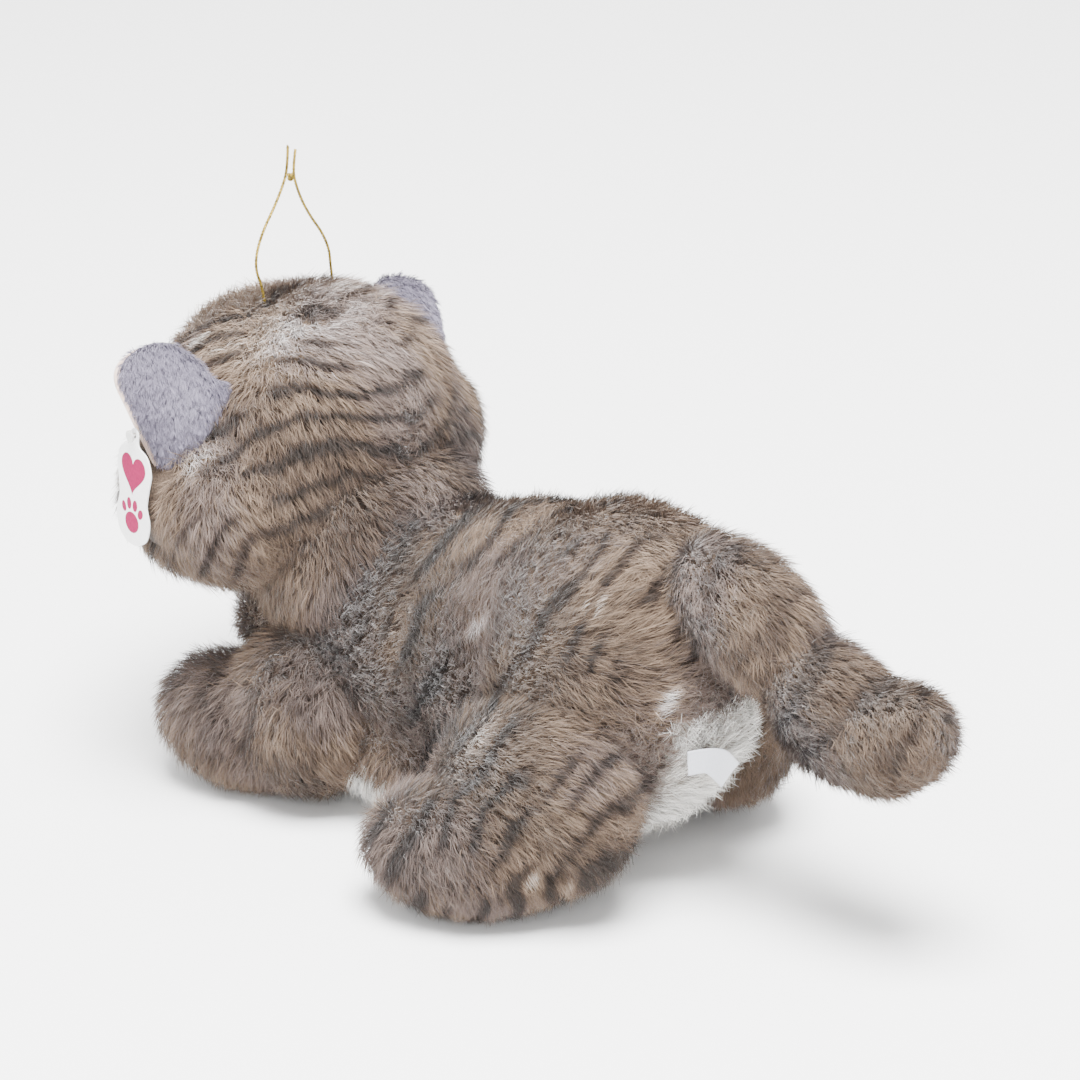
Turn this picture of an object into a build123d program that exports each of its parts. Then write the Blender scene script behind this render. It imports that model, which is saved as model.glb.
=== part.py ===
"""Plush cat lying on its belly, 1:1 in millimetres.

The cat faces -Y, its left side is +X and +Z is up.  The origin is the middle of the flat patch
on which the belly rests.  Every cover is the pile fabric with its pile, and encloses the stuffing
that fills it.  Limbs are trimmed back from the torso over their whole travel.
"""
from build123d import *
import os
from math import asin, cos, pi, radians, sin, tan

os.makedirs("parts", exist_ok=True)

# ---- driving dimensions ------------------------------------------------------------------------
GAP = 0.6                 # free space between covers that move against each other
PILE = 8.0                # thickness of the pile fabric, backing and fur together
BELLY_PILE = 4.0          # the same where the cat lies on it
STUFFING_GAP = 2.0        # least cover left between stuffing and a moving neighbour
SIDES = (("left", 1), ("right", -1))

RUMP = Vector(0, 36, 65)
RUMP_R = 67.0
CHEST = Vector(0, -58, 53)
CHEST_R = 55.0
BELLY_PANEL_WIDTH = 92.0  # the white panel under the belly
BELLY_PANEL_TOP = 17.0
REAR_PATCH_WIDTH = 44.0   # the white panel's tongue up the rump
REAR_PATCH_TOP = 70.0

HEAD = Vector(0, -113, 126)
HEAD_R = 59.0
HEAD_HALF_STRAIGHT = 13.0
FACE_Y = -148.0           # seam between the back of the head and the face
NECK_BASE = Vector(0, -76, 76)
NECK_R = 44.0
NECK_SWING_R = 76.0       # everything within this distance of the head's centre turns with the neck

MUZZLE = Vector(11, -163, 110)
MUZZLE_R = 16.5
MUZZLE_PILE = 3.5
NOSE_WIDTH = 13.0
NOSE_HEIGHT = 8.5
NOSE_SUNK = 1.5
NOSE_PROUD = 2.5
NOSE_LIFT = 32.0          # degrees above straight forward
EYE_X = 29.0
EYE_Z = 135.0
EYE_R = 9.5
EYE_SUNK = 5.0            # the eye's centre below the fur's tips
EYE_SKIRT = 1.5           # straight edge under the eye's dome
SHANK_R = 2.5
SHANK_LENGTH = 13.0
WASHER_R = 8.0
WASHER_THICK = 2.0
WASHER_DEPTH = 9.0        # the washer's outer face below the fur's tips
WASHER_TEETH = 6
WASHER_NOTCH_R = 0.8
ROOM = 0.5                # free space round a washer

EAR_BASE_TOP = {"left": Vector(54, -101, 164), "right": Vector(-53, -126, 154.5)}
EAR_BASE_LOW = {"left": Vector(70, -112, 133), "right": Vector(-68, -102, 132.5)}
EAR_TIP = {"left": Vector(77, -127, 168), "right": Vector(-88.5, -125, 150.5)}
EAR_HEIGHT = 31.0
EAR_ROOT = 6.0            # the ear's leaf runs this far under the head's fur before it is trimmed
EAR_BACK_THICK = 3.2
EAR_LINING_THICK = 2.4
EAR_LINING_INSET = 1.2
EAR_SIDE = (0.78, 0.45)   # a point halfway up the ear's side, in shares of half its base and its height
EAR_SHOULDER = (0.42, 0.93)
EAR_FOLD_BACK = 20.0
EAR_FOLD_FRONT = 10.0

TAIL_ROOT = Vector(0, 85, 114)
TAIL_ROOT_R = 23.0
TAIL_BEND = Vector(0, 124, 91)
TAIL_BEND_R = 24.0
TAIL_LOW = Vector(0, 151, 74)
TAIL_LOW_R = 25.0
TAIL_END = Vector(0, 166, 81)
TAIL_END_R = 22.0
TAIL_ROOT_SHARE = 0.55    # of the way from the root to the bend

FRONT_LEG_ELBOW = Vector(43, -82, 31)
FRONT_LEG_ELBOW_R = 27.0
FRONT_LEG_PAW = Vector(47, -109, 27)
FRONT_LEG_PAW_R = 28.0
FRONT_LEG_PIVOT = Vector(50, -58, 0)
FRONT_LEG_SWING = 20.0

REAR_LEG_HAUNCH = {"left": Vector(59, 50, 30), "right": Vector(52, 50, 30)}
REAR_LEG_HAUNCH_R = 31.0
REAR_LEG_FOOT = {"left": Vector(75, 20, 27), "right": Vector(66, 22, 27)}
REAR_LEG_FOOT_R = 28.0
REAR_LEG_PIVOT = {"left": Vector(56, 0, 60), "right": Vector(50, 0, 60)}
REAR_LEG_LIFT = 15.0
LEG_STUFFING_GAP = 3.0

TAG_HOLE = Vector(76.5, -121.2, 141.5)
TAG_NORMAL = Vector(0.97, -0.24, 0)
TAG_WIDTH = 24.0
TAG_HEIGHT = 37.0
TAG_CORNER_R = 9.6
TAG_THICK = 0.6
TAG_TAB_R = 2.6
TAG_TAB_LENGTH = 7.0
TAG_HOLE_R = 1.2
FILAMENT_R = 0.45
FILAMENT_BEND_R = 1.2
FILAMENT_BEHIND = 2.0     # the filament's bend, behind the card
FILAMENT_AHEAD = 1.4      # the paddle, ahead of the card
FILAMENT_ALONG_BASE = 11.0
FILAMENT_UP_EAR = 14.0    # where it pierces the ear, from the middle of the ear's base
PADDLE_R = 2.2
PADDLE_THICK = 0.8

LABEL_FROM_RUMP = Vector(25.4, 59.8, -9.6)
LABEL_ALONG = Vector(-0.825, 0.21, -0.525)
LABEL_LENGTH = 27.0
LABEL_FOLD_AT = 14.0
LABEL_FOLD_DROP = 5.0
LABEL_WIDTH = 11.0
LABEL_THICK = 0.6

CORD_R = 0.6
LOOP_Y = -114.0
LOOP_KNOT = Vector(-0.3, LOOP_Y, 221)
LOOP_KNOT_R = 2.0
LOOP_ROUTES = {
    "left": [(16, 183), (19.2, 190), (18.5, 197), (14.5, 204.5), (9, 211), (4.3, 217.8),
             (1.2, 224), (0.8, 233)],
    "right": [(-20.5, 181.5), (-20, 188), (-16.3, 195.5), (-11.2, 202), (-6.6, 209),
              (-3.4, 216), (-1.4, 223), (-3.2, 230.5)],
}
LOOP_BEND_SHARE = 0.45    # of the shorter run beside each bend

FAR = 350.0               # beyond every side of the cat


# ---- plain solids the pieces are cut from ------------------------------------------------------
def pod(start, start_r, end, end_r):
    """Two spheres and the cone that touches both, as one solid of revolution."""
    along = end - start
    span = along.length
    lean = asin((start_r - end_r) / span)
    square = along.cross(Vector(1, 0, 0) if abs(along.X) < 0.9 * span else Vector(0, 0, 1))
    touch = radians(90) - lean
    first = (radians(180) + touch) / 2
    last = touch / 2
    with BuildPart() as made:
        with BuildSketch(Plane(origin=start, x_dir=along, z_dir=square)):
            with BuildLine():
                ThreePointArc(
                    (-start_r, 0),
                    (start_r * cos(first), start_r * sin(first)),
                    (start_r * cos(touch), start_r * sin(touch)),
                )
                Line(
                    (start_r * cos(touch), start_r * sin(touch)),
                    (span + end_r * cos(touch), end_r * sin(touch)),
                )
                ThreePointArc(
                    (span + end_r * cos(touch), end_r * sin(touch)),
                    (span + end_r * cos(last), end_r * sin(last)),
                    (span + end_r, 0),
                )
                Line((span + end_r, 0), (-start_r, 0))
            make_face()
        revolve(axis=Axis(start, along))
    return made.part


def ball(centre, radius):
    """A sphere."""
    with BuildPart(Plane(origin=centre)) as made:
        Sphere(radius)
    return made.part


def block(low, high):
    """A box between two corners."""
    with BuildPart(Plane(origin=(low + high) * 0.5)) as made:
        Box(high.X - low.X, high.Y - low.Y, high.Z - low.Z)
    return made.part


def below(height):
    """Everything under a height."""
    return block(Vector(-FAR, -FAR, -FAR), Vector(FAR, FAR, height))


def carve(first, more=(), less=()):
    """One solid from a first one, with others added and others cut away."""
    with BuildPart() as made:
        add(first)
        for solid in more:
            add(solid)
        for solid in less:
            add(solid, mode=Mode.SUBTRACT)
    return made.part


def torso_form(grow):
    """The torso, before its flat underside and the head's socket are cut."""
    return pod(RUMP, RUMP_R + grow, CHEST, CHEST_R + grow)


def neck_form(grow):
    """The neck: a round column towards the head, ending in a ball about the head's centre."""
    with BuildPart(Plane(origin=NECK_BASE, z_dir=HEAD - NECK_BASE)) as made:
        Cylinder(NECK_R + grow, 2 * (HEAD - NECK_BASE).length)
    return made.part


def head_form(grow):
    """The head without the muzzle: round about the X axis, so it nods in its socket."""
    half = Vector(HEAD_HALF_STRAIGHT, 0, 0)
    return pod(HEAD - half, HEAD_R + grow, HEAD + half, HEAD_R + grow)


def muzzle_form(grow):
    """The two cheeks of the muzzle."""
    return pod(flipped(MUZZLE, -1), MUZZLE_R + grow, MUZZLE, MUZZLE_R + grow)


def turned(solid, axis, angles):
    """Copies of a solid turned about an axis, for cutting the room a limb needs."""
    return [solid.rotate(axis, angle) for angle in angles]


def write(name, solid):
    """Label one finished piece and write it."""
    with BuildPart() as piece:
        add(solid)
    piece.part.label = name
    export_step(piece.part, f"parts/{name}.step")


def flipped(point, sign):
    """The point on the cat's other side when sign is -1."""
    return Vector(point.X * sign, point.Y, point.Z)


TORSO = torso_form(0)
TORSO_CLEAR = torso_form(GAP)
HEAD_SOLID = head_form(0)
HEAD_CLEAR = head_form(GAP)
UNDER_FLOOR = below(0)

# ---- torso: striped back, white belly, stuffing, sewn label --------------------------------------
belly_zone = carve(
    block(Vector(-BELLY_PANEL_WIDTH / 2, -FAR, -FAR), Vector(BELLY_PANEL_WIDTH / 2, FAR, BELLY_PANEL_TOP)),
    more=[
        block(
            Vector(-REAR_PATCH_WIDTH / 2, RUMP.Y, -FAR),
            Vector(REAR_PATCH_WIDTH / 2, FAR, REAR_PATCH_TOP),
        )
    ],
)

with BuildPart() as torso_stuffing:
    add(torso_form(-PILE))
    add(below(BELLY_PILE), mode=Mode.SUBTRACT)
    add(ball(HEAD, NECK_SWING_R + GAP + STUFFING_GAP), mode=Mode.SUBTRACT)

torso_cover = carve(TORSO, less=[UNDER_FLOOR, ball(HEAD, NECK_SWING_R + GAP), torso_stuffing.part])

with BuildPart() as back_panel:
    add(torso_cover)
    add(belly_zone, mode=Mode.SUBTRACT)

with BuildPart() as belly_panel:
    add(torso_cover)
    add(belly_zone, mode=Mode.INTERSECT)

label_out = LABEL_FROM_RUMP.normalized()
label_seam = RUMP + label_out * (RUMP_R + GAP)
label_plane = Plane(origin=label_seam, x_dir=LABEL_ALONG, z_dir=label_out)
label_side = Plane(origin=label_seam, x_dir=label_plane.x_dir, z_dir=-label_plane.y_dir)
with BuildPart() as sewn_label:
    with BuildSketch(label_side):
        with BuildLine():
            Polyline(
                (0, 0),
                (LABEL_FOLD_AT, 0),
                (LABEL_LENGTH, -LABEL_FOLD_DROP),
                (LABEL_LENGTH, LABEL_THICK - LABEL_FOLD_DROP),
                (LABEL_FOLD_AT, LABEL_THICK),
                (0, LABEL_THICK),
                close=True,
            )
        make_face()
    extrude(amount=LABEL_WIDTH / 2, both=True)

# ---- neck: the ring of fur and stuffing that turns under the head --------------------------------
with BuildPart() as neck_stuffing:
    add(neck_form(-PILE))
    add(ball(HEAD, NECK_SWING_R - STUFFING_GAP), mode=Mode.INTERSECT)
    add(head_form(GAP + STUFFING_GAP), mode=Mode.SUBTRACT)

with BuildPart() as neck_cover:
    add(neck_form(0))
    add(ball(HEAD, NECK_SWING_R), mode=Mode.INTERSECT)
    add(HEAD_CLEAR, mode=Mode.SUBTRACT)
    add(neck_stuffing.part, mode=Mode.SUBTRACT)

# ---- head: back panel, face panel, muzzle, stuffing, eyes, nose ----------------------------------
def eye_plane(sign):
    """Plane on the face at one eye, its Z axis pointing out of the head."""
    straight_end = Vector(sign * HEAD_HALF_STRAIGHT, HEAD.Y, HEAD.Z)
    across = EYE_X - HEAD_HALF_STRAIGHT
    up = EYE_Z - HEAD.Z
    forward = (HEAD_R**2 - across**2 - up**2) ** 0.5
    spot = straight_end + Vector(sign * across, -forward, up)
    return Plane(origin=spot, x_dir=(0, 0, 1), z_dir=spot - straight_end)


def eye_solid(plane):
    """A domed eye with its shank."""
    with BuildPart(plane.offset(-EYE_SUNK)) as made:
        Sphere(EYE_R)
        with Locations((0, 0, -EYE_SKIRT)):
            Box(4 * EYE_R, 4 * EYE_R, 2 * EYE_R,
                align=(Align.CENTER, Align.CENTER, Align.MAX), mode=Mode.SUBTRACT)
        Cylinder(SHANK_R, SHANK_LENGTH - EYE_SUNK, align=(Align.CENTER, Align.CENTER, Align.MAX))
    return made.part


def shank_room(plane):
    """The hole that a shank and its washer need."""
    with BuildPart(plane) as made:
        Cylinder(SHANK_R, SHANK_LENGTH + ROOM, align=(Align.CENTER, Align.CENTER, Align.MAX))
        with Locations((0, 0, -WASHER_DEPTH - WASHER_THICK - ROOM)):
            Cylinder(WASHER_R + ROOM, WASHER_DEPTH + WASHER_THICK + 2 * ROOM - PILE,
                     align=(Align.CENTER, Align.CENTER, Align.MIN))
    return made.part


def washer(plane):
    """A pressed washer with notches cut in its bore, on the shank's inner end."""
    with BuildPart(plane.offset(-WASHER_DEPTH)) as made:
        Cylinder(WASHER_R, WASHER_THICK, align=(Align.CENTER, Align.CENTER, Align.MAX))
        Cylinder(SHANK_R, 3 * WASHER_THICK, mode=Mode.SUBTRACT)
        with PolarLocations(SHANK_R, WASHER_TEETH):
            Cylinder(WASHER_NOTCH_R, 3 * WASHER_THICK, mode=Mode.SUBTRACT)
    return made.part


eye_planes = {side: eye_plane(sign) for side, sign in SIDES}
eyes = {side: eye_solid(eye_planes[side]) for side, sign in SIDES}
rooms = [shank_room(eye_planes[side]) for side, sign in SIDES]

nose_out = Vector(0, -cos(radians(NOSE_LIFT)), sin(radians(NOSE_LIFT)))
nose_spot = Vector(0, MUZZLE.Y, MUZZLE.Z) + nose_out * MUZZLE_R
nose_plane = Plane(origin=nose_spot, x_dir=(1, 0, 0), z_dir=nose_out)
with BuildPart() as nose:
    with BuildSketch(nose_plane.offset(-NOSE_SUNK)):
        with BuildLine():
            Polyline(
                (-NOSE_WIDTH / 2, NOSE_HEIGHT / 2),
                (NOSE_WIDTH / 2, NOSE_HEIGHT / 2),
                (0, -NOSE_HEIGHT / 2),
                close=True,
            )
        make_face()
        fillet(vertices(), NOSE_HEIGHT / 5)
    extrude(amount=NOSE_SUNK + NOSE_PROUD)
    fillet(faces().sort_by(Axis(nose_spot, nose_out))[-1].edges(), NOSE_PROUD / 2)

with BuildPart() as muzzle_stuffing:
    add(muzzle_form(-MUZZLE_PILE))
    add(HEAD_CLEAR, mode=Mode.SUBTRACT)

with BuildPart() as muzzle_cover:
    add(muzzle_form(0))
    add(HEAD_SOLID, mode=Mode.SUBTRACT)
    add(muzzle_stuffing.part, mode=Mode.SUBTRACT)
    add(nose.part, mode=Mode.SUBTRACT)

head_stuffing = carve(head_form(-PILE), less=[*rooms, *eyes.values()])
head_cover = carve(HEAD_SOLID, less=[head_form(-PILE), *rooms, *eyes.values()])
face_zone = block(Vector(-FAR, -FAR, -FAR), Vector(FAR, FACE_Y, FAR))

with BuildPart() as face_panel:
    add(head_cover)
    add(face_zone, mode=Mode.INTERSECT)

# ---- ears ----------------------------------------------------------------------------------------
EAR_HALF = (EAR_BASE_LOW["left"] - EAR_BASE_TOP["left"]).length / 2


def ear_plane(side, sign):
    """Plane of the ear: X runs down its sewn base, Z out of its back."""
    top = EAR_BASE_TOP[side]
    low = EAR_BASE_LOW[side]
    down = low - top
    back = (EAR_TIP[side] - top).cross(down)
    return Plane(origin=(top + low) * 0.5, x_dir=down, z_dir=back * sign)


def ear_leaf(plane, start, thick, inset, up):
    """One layer of an ear: a triangle with curved sides and a round tip, on the side where up points."""
    half = EAR_HALF - inset
    tall = (EAR_HEIGHT - inset) * up
    root = EAR_ROOT * up
    side = (half * EAR_SIDE[0], tall * EAR_SIDE[1])
    shoulder = (half * EAR_SHOULDER[0], tall * EAR_SHOULDER[1])
    with BuildPart() as made:
        with BuildSketch(plane.offset(start)):
            with BuildLine():
                Line((-half, -root), (half, -root))
                ThreePointArc((half, -root), side, shoulder)
                ThreePointArc(shoulder, (0, tall), (-shoulder[0], shoulder[1]))
                ThreePointArc((-shoulder[0], shoulder[1]), (-side[0], side[1]), (-half, -root))
            make_face()
        extrude(amount=thick)
    return made.part


ear_backs = {}
ear_linings = {}
for side, sign in SIDES:
    plane = ear_plane(side, sign)
    up = -sign
    hinge = Axis(plane.origin, plane.x_dir * sign)
    head_room = turned(HEAD_CLEAR, hinge, (0, -EAR_FOLD_FRONT, EAR_FOLD_BACK))
    ear_backs[side] = carve(ear_leaf(plane, 0, EAR_BACK_THICK, 0, up), less=head_room)
    ear_linings[side] = carve(
        ear_leaf(plane, -EAR_LINING_THICK, EAR_LINING_THICK, EAR_LINING_INSET, up), less=head_room
    )

# ---- hang tag and its nylon fastener ---------------------------------------------------------------
tag_plane = Plane(origin=TAG_HOLE, x_dir=Vector(0, 0, 1).cross(TAG_NORMAL), z_dir=TAG_NORMAL)
tag_out = tag_plane.z_dir
with BuildPart() as hang_tag:
    with BuildSketch(tag_plane.offset(-TAG_THICK / 2)):
        Circle(TAG_TAB_R)
        with Locations((0, -TAG_TAB_LENGTH / 2)):
            Rectangle(2 * TAG_TAB_R, TAG_TAB_LENGTH)
        with Locations((0, -TAG_TAB_LENGTH + TAG_TAB_R - TAG_HEIGHT / 2)):
            RectangleRounded(TAG_WIDTH, TAG_HEIGHT, TAG_CORNER_R)
        Circle(TAG_HOLE_R, mode=Mode.SUBTRACT)
    extrude(amount=TAG_THICK)

pierced = ear_plane("left", 1).from_local_coords(Vector(FILAMENT_ALONG_BASE, -FILAMENT_UP_EAR, 0))
with BuildPart() as tag_fastener:
    with BuildLine() as filament:
        FilletPolyline(
            pierced,
            TAG_HOLE - tag_out * FILAMENT_BEHIND,
            TAG_HOLE + tag_out * FILAMENT_AHEAD,
            radius=FILAMENT_BEND_R,
        )
    with BuildSketch(Plane(origin=pierced, z_dir=TAG_HOLE - tag_out * FILAMENT_BEHIND - pierced)):
        Circle(FILAMENT_R)
    sweep(path=filament.wires()[0])
    with BuildSketch(tag_plane.offset(FILAMENT_AHEAD)):
        Circle(PADDLE_R)
    extrude(amount=PADDLE_THICK)

with BuildPart(tag_plane) as tag_room:
    Cylinder(TAG_TAB_R + GAP, TAG_THICK + 2 * GAP)

for layers in (ear_backs, ear_linings):
    layers["left"] = carve(layers["left"], less=[tag_fastener.part, tag_room.part])

# ---- tail ------------------------------------------------------------------------------------------
tail_root_end = TAIL_ROOT + (TAIL_BEND - TAIL_ROOT) * TAIL_ROOT_SHARE
rump_clear = ball(RUMP, RUMP_R + GAP)


def tail_tip_form(grow):
    """The tail behind its bend, curling up at the end."""
    return carve(
        pod(TAIL_BEND, TAIL_BEND_R + grow, TAIL_LOW, TAIL_LOW_R + grow),
        more=[pod(TAIL_LOW, TAIL_LOW_R + grow, TAIL_END, TAIL_END_R + grow)],
    )


with BuildPart() as tail_root_stuffing:
    add(pod(TAIL_ROOT, TAIL_ROOT_R - PILE, tail_root_end, TAIL_ROOT_R - PILE))
    add(rump_clear, mode=Mode.SUBTRACT)
    add(ball(TAIL_BEND, TAIL_BEND_R + GAP + STUFFING_GAP), mode=Mode.SUBTRACT)

with BuildPart() as tail_root_cover:
    add(pod(TAIL_ROOT, TAIL_ROOT_R, tail_root_end, TAIL_ROOT_R))
    add(rump_clear, mode=Mode.SUBTRACT)
    add(ball(TAIL_BEND, TAIL_BEND_R + GAP), mode=Mode.SUBTRACT)
    add(tail_root_stuffing.part, mode=Mode.SUBTRACT)

with BuildPart() as tail_tip_stuffing:
    add(tail_tip_form(-PILE))

with BuildPart() as tail_tip_cover:
    add(tail_tip_form(0))
    add(tail_tip_stuffing.part, mode=Mode.SUBTRACT)

# ---- legs ------------------------------------------------------------------------------------------
neck_clear = ball(HEAD, NECK_SWING_R + GAP)
for side, sign in SIDES:
    elbow = flipped(FRONT_LEG_ELBOW, sign)
    paw = flipped(FRONT_LEG_PAW, sign)
    pivot = flipped(FRONT_LEG_PIVOT, sign)
    swing = Axis(pivot, (0, 0, sign))
    room = turned(TORSO_CLEAR, swing, (0, -FRONT_LEG_SWING / 2, -FRONT_LEG_SWING))
    inner = carve(
        pod(elbow, FRONT_LEG_ELBOW_R - PILE, paw, FRONT_LEG_PAW_R - PILE),
        less=[torso_form(LEG_STUFFING_GAP)],
    )
    cover = carve(
        pod(elbow, FRONT_LEG_ELBOW_R, paw, FRONT_LEG_PAW_R),
        less=[*room, UNDER_FLOOR, neck_clear, inner],
    )
    write(f"front_leg_{side}_stuffing", inner)
    write(f"front_leg_{side}_cover", cover)

for side, sign in SIDES:
    haunch = flipped(REAR_LEG_HAUNCH[side], sign)
    foot = flipped(REAR_LEG_FOOT[side], sign)
    pivot = flipped(REAR_LEG_PIVOT[side], sign)
    lift = Axis(pivot, (0, -sign, 0))
    room = turned(TORSO_CLEAR, lift, (0, -REAR_LEG_LIFT))
    inner = carve(
        pod(haunch, REAR_LEG_HAUNCH_R - PILE, foot, REAR_LEG_FOOT_R - PILE),
        less=[torso_form(LEG_STUFFING_GAP)],
    )
    cover = carve(
        pod(haunch, REAR_LEG_HAUNCH_R, foot, REAR_LEG_FOOT_R),
        less=[*room, UNDER_FLOOR, inner],
    )
    write(f"rear_leg_{side}_stuffing", inner)
    write(f"rear_leg_{side}_cover", cover)

# ---- hanging loop: one gold cord, seen as two legs from the head up through a knot ---------------------
def bend_radii(points):
    """For each corner, the share of its shorter run over the tangent of half its turn."""
    radii = []
    for before, here, after in zip(points, points[1:], points[2:]):
        turn = (here - before).get_angle(after - here)
        shorter = min((here - before).length, (after - here).length)
        radii.append(LOOP_BEND_SHARE * shorter / tan(radians(turn) / 2))
    return radii


loop_knot = ball(LOOP_KNOT, LOOP_KNOT_R)
loop_legs = {}
for side, sign in SIDES:
    points = [Vector(x, LOOP_Y, z) for x, z in LOOP_ROUTES[side]]
    radii = bend_radii(points)
    with BuildPart() as leg:
        with BuildLine() as route:
            FilletPolyline(*points, radius=radii)
        with BuildSketch(Plane(origin=points[0], z_dir=points[1] - points[0])):
            Circle(CORD_R)
        sweep(path=route.wires()[0])
    length = route.wires()[0].length
    print("loop leg", side, "length", round(length, 1), "radii", [round(r, 1) for r in radii],
          "volume share", round(leg.part.volume / (pi * CORD_R**2 * length), 3))
    loop_legs[side] = carve(leg.part, less=[loop_knot])

with BuildPart() as head_back_panel:
    add(head_cover)
    add(face_zone, mode=Mode.SUBTRACT)
    for leg in loop_legs.values():
        add(leg, mode=Mode.SUBTRACT)

# ---- write every piece ---------------------------------------------------------------------------------
write("back_panel", back_panel.part)
write("belly_panel", belly_panel.part)
write("torso_stuffing", torso_stuffing.part)
write("sewn_label", sewn_label.part)
write("neck_cover", neck_cover.part)
write("neck_stuffing", neck_stuffing.part)
write("head_back_panel", head_back_panel.part)
write("face_panel", face_panel.part)
write("head_stuffing", head_stuffing)
write("muzzle_cover", muzzle_cover.part)
write("muzzle_stuffing", muzzle_stuffing.part)
write("nose", nose.part)
for side, sign in SIDES:
    write(f"eye_{side}", eyes[side])
    write(f"eye_washer_{side}", washer(eye_planes[side]))
    write(f"ear_{side}_back", ear_backs[side])
    write(f"ear_{side}_lining", ear_linings[side])
    write(f"loop_leg_{side}", loop_legs[side])
write("loop_knot", loop_knot)
write("hang_tag", hang_tag.part)
write("tag_fastener", tag_fastener.part)
write("tail_root_cover", tail_root_cover.part)
write("tail_root_stuffing", tail_root_stuffing.part)
write("tail_tip_cover", tail_tip_cover.part)
write("tail_tip_stuffing", tail_tip_stuffing.part)
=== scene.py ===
"""Plush cat: skins, fur strands, ears, trims, gold loop, camera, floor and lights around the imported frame."""
import math

import bmesh
import bpy
import numpy as np
from mathutils import Matrix, Vector, kdtree


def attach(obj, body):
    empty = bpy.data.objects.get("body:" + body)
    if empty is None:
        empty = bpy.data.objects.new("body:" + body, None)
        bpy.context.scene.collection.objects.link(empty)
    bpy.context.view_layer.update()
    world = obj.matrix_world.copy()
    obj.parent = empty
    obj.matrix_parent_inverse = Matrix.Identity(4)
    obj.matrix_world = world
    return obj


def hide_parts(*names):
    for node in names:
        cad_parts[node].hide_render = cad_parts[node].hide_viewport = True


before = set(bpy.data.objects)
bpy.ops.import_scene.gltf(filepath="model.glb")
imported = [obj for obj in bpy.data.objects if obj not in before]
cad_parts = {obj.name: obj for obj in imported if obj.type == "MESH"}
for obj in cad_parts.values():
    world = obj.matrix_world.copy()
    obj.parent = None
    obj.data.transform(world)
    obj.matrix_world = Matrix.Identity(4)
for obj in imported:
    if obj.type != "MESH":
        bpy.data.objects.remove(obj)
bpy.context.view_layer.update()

MM = 0.001

# ---- camera: the photograph's viewing angle ------
AZIMUTH = math.radians(130)
ELEVATION = math.radians(23)
DISTANCE = 1500 * MM
AIM = Vector((0, -5, 88)) * MM
AIM_RIGHT = 7.2 * MM
AIM_UP = 18.0 * MM
LENS = 139.0

cam_right = Vector((math.cos(AZIMUTH), math.sin(AZIMUTH), 0))
cam_forward = Vector((
    -math.sin(AZIMUTH) * math.cos(ELEVATION),
    math.cos(AZIMUTH) * math.cos(ELEVATION),
    -math.sin(ELEVATION),
))
cam_up = cam_right.cross(cam_forward)
camera_data = bpy.data.cameras.new("camera")
camera_data.lens = LENS
camera_data.clip_end = 20
camera = bpy.data.objects.new("camera", camera_data)
bpy.context.collection.objects.link(camera)
eye_point = AIM + cam_right * AIM_RIGHT + cam_up * AIM_UP - cam_forward * DISTANCE
camera.matrix_world = Matrix((
    (cam_right.x, cam_up.x, -cam_forward.x, eye_point.x),
    (cam_right.y, cam_up.y, -cam_forward.y, eye_point.y),
    (cam_right.z, cam_up.z, -cam_forward.z, eye_point.z),
    (0, 0, 0, 1),
))
bpy.context.scene.camera = camera


# ---- mesh and material helpers --------------------------------
def add_object(name, mesh):
    """A new object in the scene for a mesh."""
    made = bpy.data.objects.new(name, mesh)
    bpy.context.collection.objects.link(made)
    return made


def mesh_of(name, points, faces):
    """A smooth mesh from points in millimetres and a list of faces."""
    mesh = bpy.data.meshes.new(name)
    mesh.from_pydata([tuple(c * MM for c in p) for p in points], [], faces)
    mesh.shade_smooth()
    return mesh


WAVES = 9


def smooth_noise(points, scale, seed):
    """A soft wandering value, about -1 to 1, at each point; scale is its grain in millimetres."""
    rng = np.random.default_rng(seed)
    waves = rng.normal(size=(WAVES, 3)) * (math.pi / scale)
    phases = rng.uniform(0, 2 * math.pi, WAVES)
    return np.sin(points @ waves.T + phases).sum(axis=1) / math.sqrt(WAVES)


def step(low, high, value):
    """0 below low, 1 above high, smooth between."""
    t = np.clip((value - low) / (high - low), 0, 1)
    return t * t * (3 - 2 * t)


TUBE_SIDES = 8
CORD_SPACING = 0.2


def tube(path, radius):
    """Points and faces of a tube along a path, closed at both ends, with a frame carried along it."""
    path = np.asarray(path, float)
    ahead = unit(np.gradient(path, axis=0))
    side = unit(np.cross(ahead[0], (0.3, 0.9, 0.2))[None])[0]
    points = []
    for place, way in zip(path, ahead):
        side = side - way * side.dot(way)
        side = side / np.linalg.norm(side)
        other = np.cross(way, side)
        for turn in range(TUBE_SIDES):
            angle = 2 * math.pi * turn / TUBE_SIDES
            points.append(place + radius * (math.cos(angle) * side + math.sin(angle) * other))
    faces = []
    for ring in range(len(path) - 1):
        for turn in range(TUBE_SIDES):
            a = ring * TUBE_SIDES + turn
            b = ring * TUBE_SIDES + (turn + 1) % TUBE_SIDES
            faces.append((a, b, b + TUBE_SIDES, a + TUBE_SIDES))
    faces.append(tuple(range(TUBE_SIDES))[::-1])
    faces.append(tuple(range((len(path) - 1) * TUBE_SIDES, len(path) * TUBE_SIDES)))
    return points, faces


def unit(vectors):
    """Vectors at length 1."""
    return vectors / np.maximum(np.linalg.norm(vectors, axis=1, keepdims=True), 1e-9)


def evenly(path, spacing):
    """A path's points again, evenly spaced."""
    path = np.asarray(path, float)
    runs = np.linalg.norm(np.diff(path, axis=0), axis=1)
    along = np.concatenate([[0], np.cumsum(runs)])
    wanted = np.linspace(0, along[-1], max(2, int(along[-1] / spacing)))
    return np.stack([np.interp(wanted, along, path[:, axis]) for axis in range(3)], axis=1)


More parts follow.
